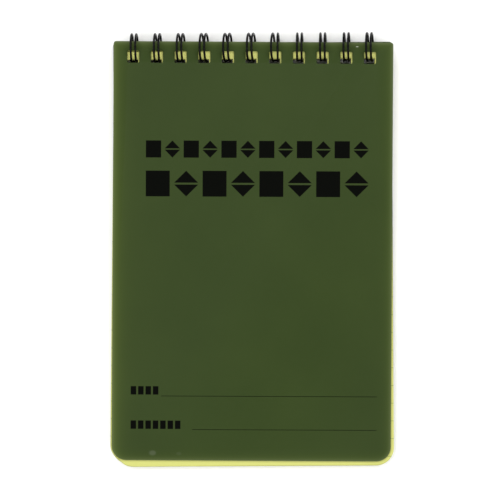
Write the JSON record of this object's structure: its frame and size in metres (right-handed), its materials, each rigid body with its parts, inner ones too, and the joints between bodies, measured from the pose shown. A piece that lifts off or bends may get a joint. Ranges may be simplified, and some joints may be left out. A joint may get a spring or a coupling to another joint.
{
  "type": "pocket notebook",
  "caption": "Slim pocket notebook bound along its top edge with a black twin-loop wire, with plastic covers and ruled yellow sheets that turn over the wire.",
  "frame": {"origin": "middle of the bottom of the object's box, on the table it lies on", "axes": "+X along the binding, +Y from the pages towards the binding, +Z out of the front cover"},
  "size_m": [0.1022, 0.1554, 0.0107],
  "materials": {
    "cover": "dark olive green polypropylene sheet, finely grained",
    "page": "coated yellow-green paper with fine ruled lines",
    "wire": "black nylon-coated steel wire",
    "ink": "black screen-printed ink"
  },
  "bodies": {
    "wire_binding": {"wire_binding": "wire"},
    "back_cover": {"back_cover": "cover"},
    "sheet_40": {"sheet_40": "page"},
    "sheet_39": {"sheet_39": "page"},
    "sheet_38": {"sheet_38": "page"},
    "sheet_37": {"sheet_37": "page"},
    "sheet_36": {"sheet_36": "page"},
    "sheet_35": {"sheet_35": "page"},
    "sheet_34": {"sheet_34": "page"},
    "sheet_33": {"sheet_33": "page"},
    "sheet_32": {"sheet_32": "page"},
    "sheet_31": {"sheet_31": "page"},
    "sheet_30": {"sheet_30": "page"},
    "sheet_29": {"sheet_29": "page"},
    "sheet_28": {"sheet_28": "page"},
    "sheet_27": {"sheet_27": "page"},
    "sheet_26": {"sheet_26": "page"},
    "sheet_25": {"sheet_25": "page"},
    "sheet_24": {"sheet_24": "page"},
    "sheet_23": {"sheet_23": "page"},
    "sheet_22": {"sheet_22": "page"},
    "sheet_21": {"sheet_21": "page"},
    "sheet_20": {"sheet_20": "page"},
    "sheet_19": {"sheet_19": "page"},
    "sheet_18": {"sheet_18": "page"},
    "sheet_17": {"sheet_17": "page"},
    "sheet_16": {"sheet_16": "page"},
    "sheet_15": {"sheet_15": "page"},
    "sheet_14": {"sheet_14": "page"},
    "sheet_13": {"sheet_13": "page"},
    "sheet_12": {"sheet_12": "page"},
    "sheet_11": {"sheet_11": "page"},
    "sheet_10": {"sheet_10": "page"},
    "sheet_09": {"sheet_09": "page"},
    "sheet_08": {"sheet_08": "page"},
    "sheet_07": {"sheet_07": "page"},
    "sheet_06": {"sheet_06": "page"},
    "sheet_05": {"sheet_05": "page"},
    "sheet_04": {"sheet_04": "page"},
    "sheet_03": {"sheet_03": "page"},
    "sheet_02": {"sheet_02": "page"},
    "sheet_01": {"sheet_01": "page"},
    "front_cover": {"front_cover": "cover"}
  },
  "joints": [
    {"name": "back_cover_turn", "type": "hinge", "parent": "wire_binding", "child": "back_cover", "pos_m": [0, 0.07241, 0.00535], "axis": [-1, 0, 0], "range_deg": [-180, 0]},
    {"name": "sheet_40_turn", "type": "hinge", "parent": "wire_binding", "child": "sheet_40", "pos_m": [0, 0.07241, 0.00535], "axis": [-1, 0, 0], "range_deg": [0, 180]},
    {"name": "sheet_39_turn", "type": "hinge", "parent": "sheet_40", "child": "sheet_39", "pos_m": [0, 0.07241, 0.00535], "axis": [-1, 0, 0], "range_deg": [0, 180]},
    {"name": "sheet_38_turn", "type": "hinge", "parent": "sheet_39", "child": "sheet_38", "pos_m": [0, 0.07241, 0.00535], "axis": [-1, 0, 0], "range_deg": [0, 180]},
    {"name": "sheet_37_turn", "type": "hinge", "parent": "sheet_38", "child": "sheet_37", "pos_m": [0, 0.07241, 0.00535], "axis": [-1, 0, 0], "range_deg": [0, 180]},
    {"name": "sheet_36_turn", "type": "hinge", "parent": "sheet_37", "child": "sheet_36", "pos_m": [0, 0.07241, 0.00535], "axis": [-1, 0, 0], "range_deg": [0, 180]},
    {"name": "sheet_35_turn", "type": "hinge", "parent": "sheet_36", "child": "sheet_35", "pos_m": [0, 0.07241, 0.00535], "axis": [-1, 0, 0], "range_deg": [0, 180]},
    {"name": "sheet_34_turn", "type": "hinge", "parent": "sheet_35", "child": "sheet_34", "pos_m": [0, 0.07241, 0.00535], "axis": [-1, 0, 0], "range_deg": [0, 180]},
    {"name": "sheet_33_turn", "type": "hinge", "parent": "sheet_34", "child": "sheet_33", "pos_m": [0, 0.07241, 0.00535], "axis": [-1, 0, 0], "range_deg": [0, 180]},
    {"name": "sheet_32_turn", "type": "hinge", "parent": "sheet_33", "child": "sheet_32", "pos_m": [0, 0.07241, 0.00535], "axis": [-1, 0, 0], "range_deg": [0, 180]},
    {"name": "sheet_31_turn", "type": "hinge", "parent": "sheet_32", "child": "sheet_31", "pos_m": [0, 0.07241, 0.00535], "axis": [-1, 0, 0], "range_deg": [0, 180]},
    {"name": "sheet_30_turn", "type": "hinge", "parent": "sheet_31", "child": "sheet_30", "pos_m": [0, 0.07241, 0.00535], "axis": [-1, 0, 0], "range_deg": [0, 180]},
    {"name": "sheet_29_turn", "type": "hinge", "parent": "sheet_30", "child": "sheet_29", "pos_m": [0, 0.07241, 0.00535], "axis": [-1, 0, 0], "range_deg": [0, 180]},
    {"name": "sheet_28_turn", "type": "hinge", "parent": "sheet_29", "child": "sheet_28", "pos_m": [0, 0.07241, 0.00535], "axis": [-1, 0, 0], "range_deg": [0, 180]},
    {"name": "sheet_27_turn", "type": "hinge", "parent": "sheet_28", "child": "sheet_27", "pos_m": [0, 0.07241, 0.00535], "axis": [-1, 0, 0], "range_deg": [0, 180]},
    {"name": "sheet_26_turn", "type": "hinge", "parent": "sheet_27", "child": "sheet_26", "pos_m": [0, 0.07241, 0.00535], "axis": [-1, 0, 0], "range_deg": [0, 180]},
    {"name": "sheet_25_turn", "type": "hinge", "parent": "sheet_26", "child": "sheet_25", "pos_m": [0, 0.07241, 0.00535], "axis": [-1, 0, 0], "range_deg": [0, 180]},
    {"name": "sheet_24_turn", "type": "hinge", "parent": "sheet_25", "child": "sheet_24", "pos_m": [0, 0.07241, 0.00535], "axis": [-1, 0, 0], "range_deg": [0, 180]},
    {"name": "sheet_23_turn", "type": "hinge", "parent": "sheet_24", "child": "sheet_23", "pos_m": [0, 0.07241, 0.00535], "axis": [-1, 0, 0], "range_deg": [0, 180]},
    {"name": "sheet_22_turn", "type": "hinge", "parent": "sheet_23", "child": "sheet_22", "pos_m": [0, 0.07241, 0.00535], "axis": [-1, 0, 0], "range_deg": [0, 180]},
    {"name": "sheet_21_turn", "type": "hinge", "parent": "sheet_22", "child": "sheet_21", "pos_m": [0, 0.07241, 0.00535], "axis": [-1, 0, 0], "range_deg": [0, 180]},
    {"name": "sheet_20_turn", "type": "hinge", "parent": "sheet_21", "child": "sheet_20", "pos_m": [0, 0.07241, 0.00535], "axis": [-1, 0, 0], "range_deg": [0, 180]},
    {"name": "sheet_19_turn", "type": "hinge", "parent": "sheet_20", "child": "sheet_19", "pos_m": [0, 0.07241, 0.00535], "axis": [-1, 0, 0], "range_deg": [0, 180]},
    {"name": "sheet_18_turn", "type": "hinge", "parent": "sheet_19", "child": "sheet_18", "pos_m": [0, 0.07241, 0.00535], "axis": [-1, 0, 0], "range_deg": [0, 180]},
    {"name": "sheet_17_turn", "type": "hinge", "parent": "sheet_18", "child": "sheet_17", "pos_m": [0, 0.07241, 0.00535], "axis": [-1, 0, 0], "range_deg": [0, 180]},
    {"name": "sheet_16_turn", "type": "hinge", "parent": "sheet_17", "child": "sheet_16", "pos_m": [0, 0.07241, 0.00535], "axis": [-1, 0, 0], "range_deg": [0, 180]},
    {"name": "sheet_15_turn", "type": "hinge", "parent": "sheet_16", "child": "sheet_15", "pos_m": [0, 0.07241, 0.00535], "axis": [-1, 0, 0], "range_deg": [0, 180]},
    {"name": "sheet_14_turn", "type": "hinge", "parent": "sheet_15", "child": "sheet_14", "pos_m": [0, 0.07241, 0.00535], "axis": [-1, 0, 0], "range_deg": [0, 180]},
    {"name": "sheet_13_turn", "type": "hinge", "parent": "sheet_14", "child": "sheet_13", "pos_m": [0, 0.07241, 0.00535], "axis": [-1, 0, 0], "range_deg": [0, 180]},
    {"name": "sheet_12_turn", "type": "hinge", "parent": "sheet_13", "child": "sheet_12", "pos_m": [0, 0.07241, 0.00535], "axis": [-1, 0, 0], "range_deg": [0, 180]},
    {"name": "sheet_11_turn", "type": "hinge", "parent": "sheet_12", "child": "sheet_11", "pos_m": [0, 0.07241, 0.00535], "axis": [-1, 0, 0], "range_deg": [0, 180]},
    {"name": "sheet_10_turn", "type": "hinge", "parent": "sheet_11", "child": "sheet_10", "pos_m": [0, 0.07241, 0.00535], "axis": [-1, 0, 0], "range_deg": [0, 180]},
    {"name": "sheet_09_turn", "type": "hinge", "parent": "sheet_10", "child": "sheet_09", "pos_m": [0, 0.07241, 0.00535], "axis": [-1, 0, 0], "range_deg": [0, 180]},
    {"name": "sheet_08_turn", "type": "hinge", "parent": "sheet_09", "child": "sheet_08", "pos_m": [0, 0.07241, 0.00535], "axis": [-1, 0, 0], "range_deg": [0, 180]},
    {"name": "sheet_07_turn", "type": "hinge", "parent": "sheet_08", "child": "sheet_07", "pos_m": [0, 0.07241, 0.00535], "axis": [-1, 0, 0], "range_deg": [0, 180]},
    {"name": "sheet_06_turn", "type": "hinge", "parent": "sheet_07", "child": "sheet_06", "pos_m": [0, 0.07241, 0.00535], "axis": [-1, 0, 0], "range_deg": [0, 180]},
    {"name": "sheet_05_turn", "type": "hinge", "parent": "sheet_06", "child": "sheet_05", "pos_m": [0, 0.07241, 0.00535], "axis": [-1, 0, 0], "range_deg": [0, 180]},
    {"name": "sheet_04_turn", "type": "hinge", "parent": "sheet_05", "child": "sheet_04", "pos_m": [0, 0.07241, 0.00535], "axis": [-1, 0, 0], "range_deg": [0, 180]},
    {"name": "sheet_03_turn", "type": "hinge", "parent": "sheet_04", "child": "sheet_03", "pos_m": [0, 0.07241, 0.00535], "axis": [-1, 0, 0], "range_deg": [0, 180]},
    {"name": "sheet_02_turn", "type": "hinge", "parent": "sheet_03", "child": "sheet_02", "pos_m": [0, 0.07241, 0.00535], "axis": [-1, 0, 0], "range_deg": [0, 180]},
    {"name": "sheet_01_turn", "type": "hinge", "parent": "sheet_02", "child": "sheet_01", "pos_m": [0, 0.07241, 0.00535], "axis": [-1, 0, 0], "range_deg": [0, 180]},
    {"name": "front_cover_turn", "type": "hinge", "parent": "sheet_01", "child": "front_cover", "pos_m": [0, 0.07241, 0.00535], "axis": [-1, 0, 0], "range_deg": [0, 180]}
  ]
}
